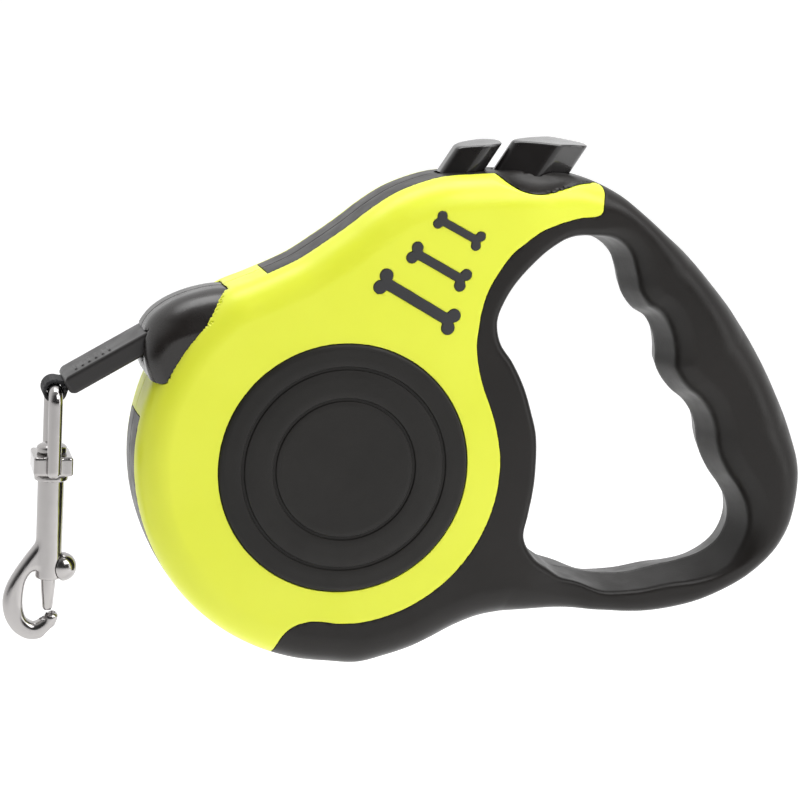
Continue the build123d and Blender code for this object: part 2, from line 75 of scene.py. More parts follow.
def camera():
    """A long lens from a little left and above, rolled so that the snap hangs plumb."""
    data = bpy.data.cameras.new("camera")
    data.lens = LENS
    data.sensor_width = SENSOR
    obj = bpy.data.objects.new("camera", data)
    bpy.context.collection.objects.link(obj)
    azimuth, elevation, roll = (math.radians(a) for a in CAMERA_TURN)
    back = Vector((math.sin(azimuth) * math.cos(elevation), -math.cos(azimuth) * math.cos(elevation),
                   math.sin(elevation)))
    flat = Vector((math.cos(azimuth), math.sin(azimuth), 0))
    up = back.cross(flat)
    right = flat * math.cos(roll) + up * math.sin(roll)
    up = back.cross(right)
    turn = Matrix((right, up, back)).transposed().to_4x4()
    at = REEL + Vector(CAMERA_AT) * MM
    obj.matrix_world = Matrix.Translation(at) @ turn
    bpy.context.scene.camera = obj


def area_light(name, at, target, size, power):
    """A white rectangular light, placed and aimed in reel-centred millimetres, its size in metres."""
    data = bpy.data.lights.new(name, "AREA")
    data.energy = power
    data.shape = "RECTANGLE"
    data.size, data.size_y = size
    obj = bpy.data.objects.new(name, data)
    bpy.context.collection.objects.link(obj)
    obj.location = REEL + Vector(at) * MM
    aim = (REEL + Vector(target) * MM) - obj.location
    obj.rotation_mode = "QUATERNION"
    obj.rotation_quaternion = aim.to_track_quat("-Z", "Y")


def stage():
    """A plain pale floor and soft studio light: bright behind and above, dimmer on the camera's side."""
    mesh = bpy.data.meshes.new("floor")
    half, level = FLOOR_HALF, REEL.z - FLOOR_DROP
    corners = [(-half, -half, level), (half, -half, level), (half, half, level), (-half, half, level)]
    mesh.from_pydata(corners, [], [(0, 1, 2, 3)])
    floor = bpy.data.objects.new("floor", mesh)
    bpy.context.collection.objects.link(floor)
    paint = bpy.data.materials.new("floor")
    paint.use_nodes = True
    shader = paint.node_tree.nodes["Principled BSDF"]
    shader.inputs["Base Color"].default_value = (0.9, 0.9, 0.9, 1)
    shader.inputs["Roughness"].default_value = 0.45
    shader.inputs["Emission Color"].default_value = (1, 1, 1, 1)
    shader.inputs["Emission Strength"].default_value = 0.34
    mesh.materials.append(paint)

    world = bpy.data.worlds.new("world")
    bpy.context.scene.world = world
    world.use_nodes = True
    nodes, links = world.node_tree.nodes, world.node_tree.links
    split = nodes.new("ShaderNodeSeparateXYZ")
    links.new(nodes.new("ShaderNodeTexCoord").outputs["Generated"], split.inputs[0])
    fade = nodes.new("ShaderNodeMapRange")
    fade.interpolation_type = "SMOOTHSTEP"
    fade.inputs["From Min"].default_value = -0.75
    fade.inputs["From Max"].default_value = 0.45
    fade.inputs["To Min"].default_value = 0.06
    fade.inputs["To Max"].default_value = 1.05
    links.new(split.outputs["Y"], fade.inputs["Value"])
    links.new(fade.outputs["Result"], nodes["Background"].inputs["Strength"])
    nodes["Background"].inputs["Color"].default_value = (1, 1, 1, 1)
    bpy.context.scene.view_settings.view_transform = "Standard"
    area_light("key", (280, -380, 460), (30, 0, 10), (0.45, 0.35), 2.2)
    area_light("top", (40, 40, 520), (30, 0, 10), (0.6, 0.25), 2.0)
    area_light("side", (480, -260, 160), (60, 0, 10), (0.2, 0.45), 0.6)


camera()
stage()


# ---- procedural materials -------------------------------------------------------------------------
class Paint:
    """A Principled material with helpers for its procedural detail."""

    def __init__(self, name, colour, roughness, metallic=0.0, **inputs):
        self.material = bpy.data.materials.new(name)
        self.material.use_nodes = True
        self.nodes = self.material.node_tree.nodes
        self.links = self.material.node_tree.links
        self.shader = self.nodes["Principled BSDF"]
        self.shader.inputs["Base Color"].default_value = (*colour, 1)
        self.shader.inputs["Roughness"].default_value = roughness
        self.shader.inputs["Metallic"].default_value = metallic
        for key, value in inputs.items():
            self.shader.inputs[key.replace("_", " ")].default_value = value
        self.coords = self.nodes.new("ShaderNodeTexCoord").outputs["Object"]
        self.height = None

    def noise(self, scale, detail=3.0, roughness=0.5, stretch=(1, 1, 1)):
        mapping = self.nodes.new("ShaderNodeMapping")
        mapping.inputs["Scale"].default_value = stretch
        self.links.new(self.coords, mapping.inputs["Vector"])
        node = self.nodes.new("ShaderNodeTexNoise")
        node.inputs["Scale"].default_value = scale
        node.inputs["Detail"].default_value = detail
        node.inputs["Roughness"].default_value = roughness
        self.links.new(mapping.outputs["Vector"], node.inputs["Vector"])
        return node.outputs["Fac"]

    def spread(self, value, low, high, to_low, to_high):
        node = self.nodes.new("ShaderNodeMapRange")
        node.inputs["From Min"].default_value = low
        node.inputs["From Max"].default_value = high
        node.inputs["To Min"].default_value = to_low
        node.inputs["To Max"].default_value = to_high
        self.links.new(value, node.inputs["Value"])
        return node.outputs["Result"]

    def tint(self, value, colour_a, colour_b):
        node = self.nodes.new("ShaderNodeMix")
        node.data_type = "RGBA"
        node.inputs[6].default_value = (*colour_a, 1)
        node.inputs[7].default_value = (*colour_b, 1)
        self.links.new(value, node.inputs[0])
        self.links.new(node.outputs[2], self.shader.inputs["Base Color"])

    def rough(self, value):
        self.links.new(value, self.shader.inputs["Roughness"])

    def bump(self, value, distance, strength=1.0):
        node = self.nodes.new("ShaderNodeBump")
        node.inputs["Distance"].default_value = distance
        node.inputs["Strength"].default_value = strength
        self.links.new(value, node.inputs["Height"])
        if self.height is not None:
            self.links.new(self.height, node.inputs["Normal"])
        self.height = node.outputs["Normal"]
        self.links.new(self.height, self.shader.inputs["Normal"])


def moulded(name, dark, light, roughness, grain, grain_depth, **inputs):
    """Moulded plastic: a faint drift of colour, a fine spark-eroded grain and uneven gloss."""
    paint = Paint(name, dark, roughness, **inputs)
    drift = paint.noise(35.0, 2.0)
    paint.tint(paint.spread(drift, 0.35, 0.65, 0.0, 1.0), dark, light)
    paint.rough(paint.spread(paint.noise(220.0, 3.0), 0.3, 0.7, roughness - 0.05, roughness + 0.06))
    paint.bump(paint.noise(grain, 2.0, 0.6), grain_depth)
    return paint.material


def chrome(name, colour, roughness):
    """Plated zinc: bright, with slight waviness and a few fine scuffs."""
    paint = Paint(name, colour, roughness, 1.0)
    paint.rough(paint.spread(paint.noise(900.0, 4.0, 0.6, (1, 1, 0.2)), 0.4, 0.75, roughness,
                             roughness + 0.12))
    paint.bump(paint.noise(260.0, 1.0), 0.00004)
    return paint.material


def turned_metal(name, colour, roughness):
    """Bare metal with fine marks round its length."""
    paint = Paint(name, colour, roughness, 1.0)
    rings = paint.noise(1500.0, 2.0, 0.5, (1, 0.02, 1))
    paint.rough(paint.spread(rings, 0.3, 0.7, roughness - 0.08, roughness + 0.12))
    paint.bump(rings, 0.00003)
    return paint.material


ROW_PITCH, WARP_PITCH = 0.0011, 0.0009     # the weave, in metres


def webbing(name, colour, lift):
    """Flat woven polyester: crossed ribs from two sine waves along and across the tape."""
    paint = Paint(name, colour, 0.8)
    split = paint.nodes.new("ShaderNodeSeparateXYZ")
    paint.links.new(paint.coords, split.inputs[0])
    waves = []
    for axis, pitch in (("X", ROW_PITCH), ("Y", WARP_PITCH), ("Z", ROW_PITCH)):
        node = paint.nodes.new("ShaderNodeMath")
        node.operation = "MULTIPLY"
        node.inputs[1].default_value = 2 * math.pi / pitch
        paint.links.new(split.outputs[axis], node.inputs[0])
        sine = paint.nodes.new("ShaderNodeMath")
        sine.operation = "SINE"
        paint.links.new(node.outputs[0], sine.inputs[0])
        waves.append(sine.outputs[0])
    along = paint.nodes.new("ShaderNodeMath")
    along.operation = "ADD"
    paint.links.new(waves[0], along.inputs[0])
    paint.links.new(waves[2], along.inputs[1])
    cross = paint.nodes.new("ShaderNodeMath")
    cross.operation = "MULTIPLY"
    paint.links.new(along.outputs[0], cross.inputs[0])
    paint.links.new(waves[1], cross.inputs[1])
    paint.tint(paint.spread(cross.outputs[0], -1.0, 1.0, 0.0, 1.0), colour, lift)
    paint.bump(cross.outputs[0], 0.00012)
    return paint.material


YELLOW = moulded("yellow_cover", (0.76, 0.80, 0.046), (0.79, 0.825, 0.058), 0.34, 2600.0, 0.000006,
                 Subsurface_Weight=0.05, Specular_IOR_Level=0.4)
BLACK = moulded("black_shell", (0.0100, 0.0086, 0.0078), (0.0130, 0.0112, 0.0102), 0.36, 1700.0, 0.00002,
                Specular_IOR_Level=0.26)
CAP = moulded("black_cap", (0.013, 0.0120, 0.0110), (0.017, 0.0157, 0.0145), 0.5, 2000.0, 0.00002,
              Specular_IOR_Level=0.25)
GLOSS = moulded("black_gloss", (0.011, 0.0090, 0.0082), (0.014, 0.0118, 0.0108), 0.26, 1500.0, 0.00001,
                Specular_IOR_Level=0.6)
INLAY = moulded("inlay", (0.033, 0.033, 0.035), (0.040, 0.040, 0.042), 0.55, 2200.0, 0.00002,
                Specular_IOR_Level=0.25)
BUTTON = moulded("button", (0.0090, 0.0078, 0.0078), (0.0120, 0.0104, 0.0104), 0.3, 1700.0, 0.000008,
                 Specular_IOR_Level=0.35, Coat_Weight=0.8, Coat_Roughness=0.06)
SLEEVE = moulded("sleeve", (0.016, 0.0145, 0.0145), (0.021, 0.019, 0.019), 0.4, 1600.0, 0.000015,
                 Specular_IOR_Level=0.45)
WHITE = moulded("reel_plastic", (0.62, 0.62, 0.60), (0.66, 0.66, 0.64), 0.5, 900.0, 0.00002)
CHROME = chrome("chrome", (0.40, 0.385, 0.38), 0.14)
STEEL = turned_metal("steel", (0.55, 0.55, 0.57), 0.32)
SCREW = turned_metal("screw_steel", (0.16, 0.16, 0.165), 0.35)
SPRING = turned_metal("spring_steel", (0.38, 0.39, 0.43), 0.3)
BRASS = turned_metal("bush_brass", (0.66, 0.5, 0.24), 0.28)
TAPE = webbing("tape", (0.016, 0.016, 0.018), (0.03, 0.03, 0.033))

SLOTS = {"black_shell": BLACK, "yellow_cover": YELLOW, "black_gloss": GLOSS, "black_cap": CAP,
         "inlay": INLAY, "screw_steel": SCREW, "steel": STEEL, "tape": TAPE, "reel_plastic": WHITE,
         "bush_brass": BRASS, "spring_steel": SPRING, "button": BUTTON, "sleeve": SLEEVE,
         "chrome": CHROME}


def paint_nodes():
    """Every CAD node gets its slot's procedural material."""
    for entry in frame["record"]["subparts"]:
        obj = frame["nodes"][entry["node"]]
        obj.data.materials.clear()
        obj.data.materials.append(SLOTS[entry["material_slot"]])


paint_nodes()


# ---- outlines -------------------------------------------------------------------------------------
def arc(radius, start, end, steps, centre=(0, 0)):
    """Points on a circle from one angle to another, in degrees."""
    angles = np.radians(np.linspace(start, end, steps))
    return [(centre[0] + radius * math.cos(a), centre[1] + radius * math.sin(a)) for a in angles]


def smooth_loop(points, density=8):
    """A closed curve through the points, as a centripetal Catmull-Rom spline."""
    p = np.asarray(points, float)
    n = len(p)
    result = []
    for i in range(n):
        a, b, c, d = p[i - 1], p[i], p[(i + 1) % n], p[(i + 2) % n]
        knots = [0.0]
        for u, v in ((a, b), (b, c), (c, d)):
            knots.append(knots[-1] + math.dist(u, v) ** 0.5)
        k0, k1, k2, k3 = knots
        for t in np.linspace(k1, k2, density, endpoint=False):
            a1 = (k1 - t) / (k1 - k0) * a + (t - k0) / (k1 - k0) * b
            a2 = (k2 - t) / (k2 - k1) * b + (t - k1) / (k2 - k1) * c
            a3 = (k3 - t) / (k3 - k2) * c + (t - k2) / (k3 - k2) * d
            b1 = (k2 - t) / (k2 - k0) * a1 + (t - k0) / (k2 - k0) * a2
            b2 = (k3 - t) / (k3 - k1) * a2 + (t - k1) / (k3 - k1) * a3
            result.append((k2 - t) / (k2 - k1) * b1 + (t - k1) / (k2 - k1) * b2)
    return np.array(result)


RIM = smooth_loop(
    arc(50.3, 127, 268, 19, centre=(1.2, 0.8))
    + [(6.8, -49.9), (13.6, -48.3), (20.2, -46.1), (24.6, -44.0), (31, -40.6), (36.6, -38.4),
       (43.2, -37.2), (55, -36.2), (68.1, -37.1), (80.7, -37.5), (90.6, -35.9), (99.4, -32.6),
       (107.0, -28.2), (112.7, -22.8), (117.1, -15.9), (119.3, -6.5), (119.3, 0.1), (116.2, 9.3),
       (110.7, 20.1), (105.2, 29.2), (98.8, 37.8), (92, 45.2), (85.3, 52), (78.6, 57.3),
       (72, 62.4), (65.7, 66.8), (58.5, 69.8), (50.5, 71.0), (40, 71), (30, 70.4), (21.8, 69.5),
       (16.1, 67.8), (10.3, 65.2), (4.7, 61.4), (-0.6, 57.1), (-6.3, 52.9), (-11.8, 49.1),
       (-16.4, 46.7), (-22.5, 43.9)])
LOOP = smooth_loop(
    [(46.9, -17.4), (47.6, -12), (48.5, -6), (48.8, 0), (48.3, 8.2), (46.5, 14.3), (44.2, 20.4),
     (40.9, 26.4), (37.6, 31), (36.6, 36), (38.1, 40.7), (40.4, 44.7), (43.8, 48.8), (48, 52.7),
     (53.2, 55.7), (58.4, 56.2), (63.4, 54.9), (67.1, 51.7), (69.2, 46.9), (70.7, 42.1),
     (73.8, 38.1), (77.4, 35.9), (79.7, 32.1), (80.8, 27.8), (81.2, 23.9), (82.9, 20.7), (85.8, 17.5),
     (89.1, 15), (91.4, 12.1), (92.9, 8.6), (93.6, 5.1), (94.9, 1.3), (97.5, -3.1), (100.6, -7),
     (103.0, -11.3), (103.5, -16.1), (101.5, -21), (97.2, -24.4), (91.7, -26.4), (85.6, -27.8),
     (78, -29.6), (70, -29.8), (63, -28.7), (57.4, -27.6), (53.4, -24.9), (49.9, -22.3)])
COVER = smooth_loop(
    arc(38.5, -80, 4, 16)
    + [(37.1, 9.4), (35.3, 14.8), (33, 20.3), (31.6, 25), (30.8, 30), (31, 34.5), (31.6, 39.2),
       (32.8, 43.4), (35.1, 47.9), (37.9, 52), (41.3, 55.1), (45.2, 57.9), (50.1, 59.9), (55, 61.2),
       (58.8, 61.6), (60.4, 62.4), (60.9, 65), (61.3, 68.2), (60.6, 69.3), (57.5, 69.2),
       (54.2, 68.9), (50.8, 67.9), (47.2, 66.9), (43.5, 66.6), (39.8, 67.3), (36.9, 69), (34.5, 71),
       (32, 74), (28, 90), (-20, 100), (-80, 90), (-80, -80), (-17, -80), (-15.5, -60), (-14.9, -50),
       (-14.1, -44.5), (-12.8, -41.2), (-10.4, -38.9), (-7, -37.8), (-3, -37.8), (1.5, -38.3)])
NOZZLE = smooth_loop(
    [(-27.6, 43.5), (-27.4, 40.2), (-28.6, 37), (-31.4, 33.4), (-34.6, 29.4), (-37.8, 25.2),
     (-40.8, 21.6), (-43.4, 19.6), (-46, 19.8), (-48, 21.5), (-54, 26), (-54, 40), (-44, 48), (-30, 48)])
DOME = smooth_loop(
    [(-20, 40.5), (-27, 41.2), (-30.4, 41.2), (-34.4, 40.4), (-38.6, 39), (-42.8, 36.8), (-46, 34),
     (-47.6, 31), (-47.9, 27.6), (-47.6, 24), (-46.6, 20.6), (-44, 16), (-34, 8), (-10, 14), (-8, 36)])


# ---- distance fields ------------------------------------------------------------------------------
STEP = 0.55


def outline_distance(outline, x, z):
    """Signed distance from points to a closed outline, negative inside."""
    px, pz = x.ravel(), z.ravel()
    best = np.full(px.shape, 1e9)
    inside = np.zeros(px.shape, bool)
    for (x0, z0), (x1, z1) in zip(outline, np.roll(outline, -1, axis=0)):
        dx, dz = x1 - x0, z1 - z0
        t = np.clip(((px - x0) * dx + (pz - z0) * dz) / (dx * dx + dz * dz + 1e-12), 0, 1)
        near = (px - x0 - t * dx) ** 2 + (pz - z0 - t * dz) ** 2
        np.minimum(best, near, out=best)
        if z0 != z1:
            crosses = (z0 > pz) != (z1 > pz)
            inside ^= crosses & (px < (x1 - x0) * (pz - z0) / (z1 - z0) + x0)
    return (np.sqrt(best) * np.where(inside, -1, 1)).reshape(x.shape)


def cubic_weights(t):
    """The four weights of a cubic through equally spaced samples."""
    t2, t3 = t * t, t * t * t
    return (-0.5 * t3 + t2 - 0.5 * t, 1.5 * t3 - 2.5 * t2 + 1, -1.5 * t3 + 2 * t2 + 0.5 * t,
            0.5 * t3 - 0.5 * t2)


class Plan:
    """An outline's distance over the XZ plane, sampled once on a grid and read back smoothly."""

    def __init__(self, outline, low=(-54.0, -54.0), high=(124.0, 80.0), step=0.5):
        self.low, self.step = low, step
        axes = [np.arange(a, b, step) for a, b in zip(low, high)]
        self.values = outline_distance(outline, *np.meshgrid(*axes, indexing="ij"))

    def __call__(self, x, z):
        columns, rows = self.values.shape
        u = np.clip((x - self.low[0]) / self.step, 1, columns - 3.001)
        v = np.clip((z - self.low[1]) / self.step, 1, rows - 3.001)
        i, j = u.astype(int), v.astype(int)
        total = 0.0
        for di, wi in enumerate(cubic_weights(u - i), -1):
            row = 0.0
            for dj, wj in enumerate(cubic_weights(v - j), -1):
                row = row + wj * self.values[i + di, j + dj]
            total = total + wi * row
        return total


def ramp(value, low, high):
    """A smooth step from 0 at low to 1 at high."""
    t = np.clip((value - low) / (high - low), 0, 1)
    return t * t * (3 - 2 * t)


def soft_max(a, b, k):
    """The larger of two fields, with their crease rounded over about k."""
    h = np.clip(0.5 + 0.5 * (a - b) / k, 0, 1)
    return b + (a - b) * h + k * h * (1 - h)


def soft_min(a, b, k):
    """The smaller of two fields, blended over about k."""
    return -soft_max(-a, -b, k)


def rounded_edge(side, face, radius):
    """An extrusion's solid distance, with its edge rounded to a radius."""
    u, v = side + radius, face + radius
    return np.minimum(np.maximum(u, v), 0) + np.hypot(np.maximum(u, 0), np.maximum(v, 0)) - radius


def brick(a, b, c, half, radius=0.0):
    """A box's distance about its centre, in any three upright directions, with rounded edges."""
    q = [np.abs(v) - h + radius for v, h in zip((a, b, c), half)]
    outside = np.sqrt(sum(np.maximum(v, 0) ** 2 for v in q))
    return outside + np.minimum(np.maximum(np.maximum(q[0], q[1]), q[2]), 0) - radius


def convex(points, u, v, k=0.0):
    """A convex polygon's distance, its corners rounded over about k. The points run counterclockwise."""
    total = None
    for (u0, v0), (u1, v1) in zip(points, points[1:] + points[:1]):
        length = math.hypot(u1 - u0, v1 - v0)
        side = ((v1 - v0) * (u - u0) - (u1 - u0) * (v - v0)) / length
        total = side if total is None else (soft_max(total, side, k) if k else np.maximum(total, side))
    return total


# ---- meshing --------------------------------------------------------------------------------------
def contour(field, low, high, step):
    """The mesh of a field's zero surface, by dual contouring, so that its sharp edges stay sharp."""
    axes = [np.arange(a, b + step, step) for a, b in zip(low, high)]
    sparse = np.meshgrid(*axes, indexing="ij", sparse=True)
    shape = tuple(len(a) for a in axes)
    values = np.broadcast_to(field(*sparse), shape)
    inside = values < 0
    origin = np.array(low, float)
    rows, faces = [], []
    for axis in range(3):
        others = ((axis + 1) % 3, (axis + 2) % 3)
        before = [slice(None)] * 3
        after = [slice(None)] * 3
        before[axis], after[axis] = slice(0, -1), slice(1, None)
        index = np.argwhere(inside[tuple(before)] != inside[tuple(after)])
        for other in others:
            index = index[(index[:, other] > 0) & (index[:, other] < shape[other] - 1)]
        if not len(index):
            continue
        ahead = index.copy()
        ahead[:, axis] += 1
        start, end = origin + index * step, origin + ahead * step
        v0, v1 = values[tuple(index.T)], values[tuple(ahead.T)]
        t0, t1 = np.zeros(len(index)), np.ones(len(index))
        for _ in range(4):
            width = t1 - t0
            t = np.clip(t0 + width * v0 / (v0 - v1 + 1e-12), t0 + 0.05 * width, t1 - 0.05 * width)
            point = start + (end - start) * t[:, None]
            v = field(*point.T)
            low_side = (v < 0) == (v0 < 0)
            t0, v0 = np.where(low_side, t, t0), np.where(low_side, v, v0)
            t1, v1 = np.where(low_side, t1, t), np.where(low_side, v1, v)
        normal = gradient(field, point)
        out = values[tuple(index.T)] < 0
        cells = []
        for a, b in ((-1, -1), (0, -1), (0, 0), (-1, 0)):
            cell = index.copy()
            cell[:, others[0]] += a
            cell[:, others[1]] += b
            cells.append(np.ravel_multi_index(tuple(cell.T), shape))
            rows.append(np.column_stack((cells[-1], point, normal)))
        quad = np.column_stack(cells)
        quad[~out] = quad[~out][:, ::-1]
        faces.append(quad)
    rows = np.concatenate(rows)
    faces = np.concatenate(faces)
    ids, where = np.unique(rows[:, 0].astype(np.int64), return_inverse=True)
    centre = origin + (np.column_stack(np.unravel_index(ids, shape)) + 0.5) * step
    vertices = corner_fit(rows[:, 1:4] - centre[where], rows[:, 4:7], where, len(ids), step) + centre
    return vertices, np.searchsorted(ids, faces)


def gradient(field, point, reach=0.02):
    """Unit normals by central differences."""
    slopes = []
    for axis in range(3):
        shift = np.zeros(3)
        shift[axis] = reach
        slopes.append(field(*(point + shift).T) - field(*(point - shift).T))
    slopes = np.column_stack(slopes)
    return slopes / np.maximum(np.linalg.norm(slopes, axis=1, keepdims=True), 1e-9)


def corner_fit(points, normals, where, count, step):
    """In each cell, the point nearest to all of the planes that cross its edges."""
    def gather(weights):
        return np.bincount(where, weights, count)

    total = gather(np.ones(len(where)))
    mean = np.column_stack([gather(points[:, i]) / total for i in range(3)])
    matrix = np.empty((count, 3, 3))
    for i in range(3):
        for j in range(3):
            matrix[:, i, j] = gather(normals[:, i] * normals[:, j])
    offset = (normals * (points - mean[where])).sum(1)
    right = np.column_stack([gather(normals[:, i] * offset) for i in range(3)])
    matrix += np.eye(3) * 0.02
    best = mean + np.linalg.solve(matrix, right[:, :, None])[:, :, 0]
    return np.clip(best, -0.5 * step, 0.5 * step)


def lathe(profile, sides):
    """A profile of (radius, height) points turned about the upright axis, as vertices and faces."""
    angles = np.linspace(0, 2 * math.pi, sides, endpoint=False)
    rings = [np.column_stack((r * np.cos(angles), r * np.sin(angles), np.full(sides, h)))
             for r, h in profile]
    vertices = np.concatenate(rings)
    step = np.arange(sides)
    ahead = (step + 1) % sides
    faces = [np.column_stack((i * sides + step, i * sides + ahead, (i + 1) * sides + ahead,
                              (i + 1) * sides + step)) for i in range(len(profile) - 1)]
    return vertices, np.concatenate(faces)


def flipped(mesh):
    """The same mesh on the other side of the mid-plane."""
    vertices, faces = mesh
    return vertices * (1, -1, 1), faces[:, ::-1]


def inside_out(mesh):
    """The same mesh with its faces turned over."""
    vertices, faces = mesh
    return vertices, faces[:, ::-1]


def joined(*meshes):
    """Several meshes as one."""
    vertices, faces, start = [], [], 0
    for v, f in meshes:
        vertices.append(v)
        faces.append(f + start)
        start += len(v)
    return np.concatenate(vertices), np.concatenate(faces)


def piece(name, mesh, slot, body, *nodes, sharp=30):
    """A named object from a mesh in reel-centred millimetres, with its slot's paint, riding on a body."""
    vertices, faces = mesh
    data = bpy.data.meshes.new(name)
    data.vertices.add(len(vertices))
    data.vertices.foreach_set("co", place(vertices).ravel())
    data.loops.add(faces.size)
    data.loops.foreach_set("vertex_index", faces.ravel().astype(np.int32))
    data.polygons.add(len(faces))
    data.polygons.foreach_set("loop_start", np.arange(0, faces.size, 4, dtype=np.int32))
    data.update(calc_edges=True)
    data.validate()
    tidy = bmesh.new()
    tidy.from_mesh(data)
    bmesh.ops.remove_doubles(tidy, verts=tidy.verts, dist=1e-7)
    bmesh.ops.dissolve_degenerate(tidy, edges=tidy.edges, dist=1e-7)
    tidy.to_mesh(data)
    tidy.free()
    data.shade_smooth()
    data.set_sharp_from_angle(angle=math.radians(sharp))
    data.materials.append(SLOTS[slot])
    obj = bpy.data.objects.new(name, data)
    bpy.context.collection.objects.link(obj)
    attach(obj, body)
    if nodes:
        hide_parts(*nodes)


# ---- the casing's form ----------------------------------------------------------------------------
HALF_T = 15.0                       # half the case's thickness
HANDLE_THIN, BAR_THIN = 2.6, 1.0    # how much less the handle and its lower bar are, on each side
BELT = 7.4                          # half the width of the plain belt round the rim
BELT_CROWN = 0.2
WALL = 1.6                          # the cover's thickness
GAP = 0.07                          # half the seam between cover and shell
LEAN = math.radians(31.54)          # the buttons' travel, off the vertical
SLOPE = math.radians(30.9)          # the tape's way out, off the level
EYE_X, EYE_Z = -67.7, 15.8          # the middle of the tape's loop
CAP_R = 30.2
CAVITY_R, CAVITY_HALF_T = 46.9, 11.4
LINING = 2.6                        # from the outer surface to the pocket behind it
POCKET_HALF_T = 9.3
BOSS_R, SCREW_R, SCREW_HEAD_R = 3.6, 1.55, 2.95
NOZZLE_HALF_T = 12.5
DIP_AT, DIP_SIZE = (44.0, 13.4, 75.2), (12.6, 9.6, 8.0)
BRAKE_FLOOR, LOCK_FLOOR = 74.2, 67.4
BUTTON_GAP, SHAFT_WALL = 0.3, 1.6
SCREWS = [(8.0, 57.0), (74.0, 54.5), (100.0, 22.0), (110.0, -18.0), (47.0, -31.3)]

rim_plan, loop_plan, cover_plan, nozzle_plan, dome_plan = (
    Plan(o) for o in (RIM, LOOP, COVER, NOZZLE, DOME))
SECTOR = [(-30, 10), (-10, 30), (-28, 60), (-90, 60), (-90, 12)]


def across_buttons(x, z):
    """Across the buttons towards the handle, and up along their travel."""
    return x * math.cos(LEAN) - z * math.sin(LEAN), x * math.sin(LEAN) + z * math.cos(LEAN)


def tape_way(x, z):
    """Up off the tape's face, and along its way out from the eye's bar."""
    dx, dz = x - EYE_X, z - EYE_Z
    return (-dx * math.sin(SLOPE) + dz * math.cos(SLOPE), -dx * math.cos(SLOPE) - dz * math.sin(SLOPE))


def form(x, y, z):
    """The closed outer form of case and handle."""
    bar = ramp(-z, 20, 29) * ramp(x, 46, 62)
    half = HALF_T - HANDLE_THIN * ramp(x, 40, 66) - BAR_THIN * bar
    rim = rim_plan(x, z) - BELT_CROWN * np.clip(1 - (y / BELT) ** 2, 0, 1)
    hand = ramp(x, 58, 78)
    draft = 0.8 + 2.4 * ramp(x, 58, 70) - 1.4 * bar * (1 - ramp(x, 80, 98)) + 1.0 * bar * (1 - hand)
    opening = draft * np.abs(y) / half - loop_plan(x, z)
    width = -(rim + opening)
    face = np.abs(y) - half
    outer_r = np.clip(0.5 * width, 3.0, 8.0 + 2.0 * hand)
    inner_r = 2.0 + 2.2 * hand - (1.0 + 2.2 * hand) * bar
    return np.maximum(rounded_edge(rim, face, outer_r), rounded_edge(opening, face, inner_r))


def scooped(solid, x, y, z):
    """The dip in the saddle round the brake button, on both faces."""
    u, v, w = ((c - at) / size for c, at, size in zip((x, np.abs(y), z), DIP_AT, DIP_SIZE))
    length = np.sqrt(u * u + v * v + w * w)
    return soft_max(solid, -(length - 1) * 7.5, 1.2)


def cover_zone(x, y, z):
    """Where the coloured cover lies: off the belt, and right round beside the mouth."""
    beside = convex(SECTOR, x, z)
    return np.minimum(np.maximum(cover_plan(x, z), BELT - np.abs(y)), beside)


def nozzle_form(x, y, z):
    """The mouthpiece's rounded outside, cut along its seam with the cover."""
    radius = 3.5 + 5.5 * ramp(z, 24, 34)
    dome = rounded_edge(dome_plan(x, z), np.abs(y) - NOZZLE_HALF_T, radius)
    return np.maximum(dome, nozzle_plan(x, z))


def channel(x, y, z):
    """The flat channel that the sleeve and the tape run in."""
    up, out = tape_way(x, z)
    sleeve = brick(up, y, out + 13.9, (2.6, 7.65, 13.9), 0.8)
    tape = brick(up + 1.6, y, out + 33.0, (3.0, 6.6, 14.0))
    return np.minimum(sleeve, tape)


BRAKE = [(-6.4, -1.2), (2.4, -5.9), (10.0, -1.9), (10.0, 1.9), (2.4, 5.9), (-6.4, 1.2)]
LOCK = [(-17.5, -2.6), (-11.9, -4.6), (-8.4, -2.4), (-8.4, 2.4), (-11.9, 4.6), (-17.5, 2.6)]


def wells(x, y, z):
    """The shafts that the two buttons slide in."""
    across, up = across_buttons(x, z)
    brake = np.maximum(convex(BRAKE, across, y, 0.8) - BUTTON_GAP, BRAKE_FLOOR - up)
    lock = np.maximum(convex(LOCK, across, y, 0.8) - BUTTON_GAP, LOCK_FLOOR - up)
    return np.minimum(brake, lock)


def cavity(x, y, z):
    """The reel's room and the pocket in the frame and handle."""
    reel = rounded_edge(np.hypot(x, z) - CAVITY_R, np.abs(y) - CAVITY_HALF_T, 4.0)
    pocket = np.maximum(scooped(form(x, y, z), x, y, z) + LINING, np.abs(y) - POCKET_HALF_T)
    pocket = np.maximum(pocket, CAVITY_R + 1.7 - np.hypot(x, z))
    across, up = across_buttons(x, z)
    shafts = np.minimum(convex(BRAKE, across, y), convex(LOCK, across, y)) - SHAFT_WALL
    pocket = np.maximum(pocket, -np.maximum(shafts, 64.0 - up))
    for sx, sz in SCREWS:
        pocket = np.maximum(pocket, BOSS_R - np.hypot(x - sx, z - sz))
    return np.minimum(reel, pocket)


def shell(x, y, z):
    """One black half shell, on the front, without its screw holes."""
    whole = scooped(form(x, y, z), x, y, z)
    visible = soft_max(whole, -cover_zone(x, y, z) + GAP, 0.3)
    solid = np.minimum(whole + WALL + 0.3, visible)
    for cut in (nozzle_form(x, y, z) - 0.12, channel(x, y, z), wells(x, y, z), cavity(x, y, z)):
        solid = np.maximum(solid, -cut)
    return soft_max(solid, y + 0.05, 0.3)


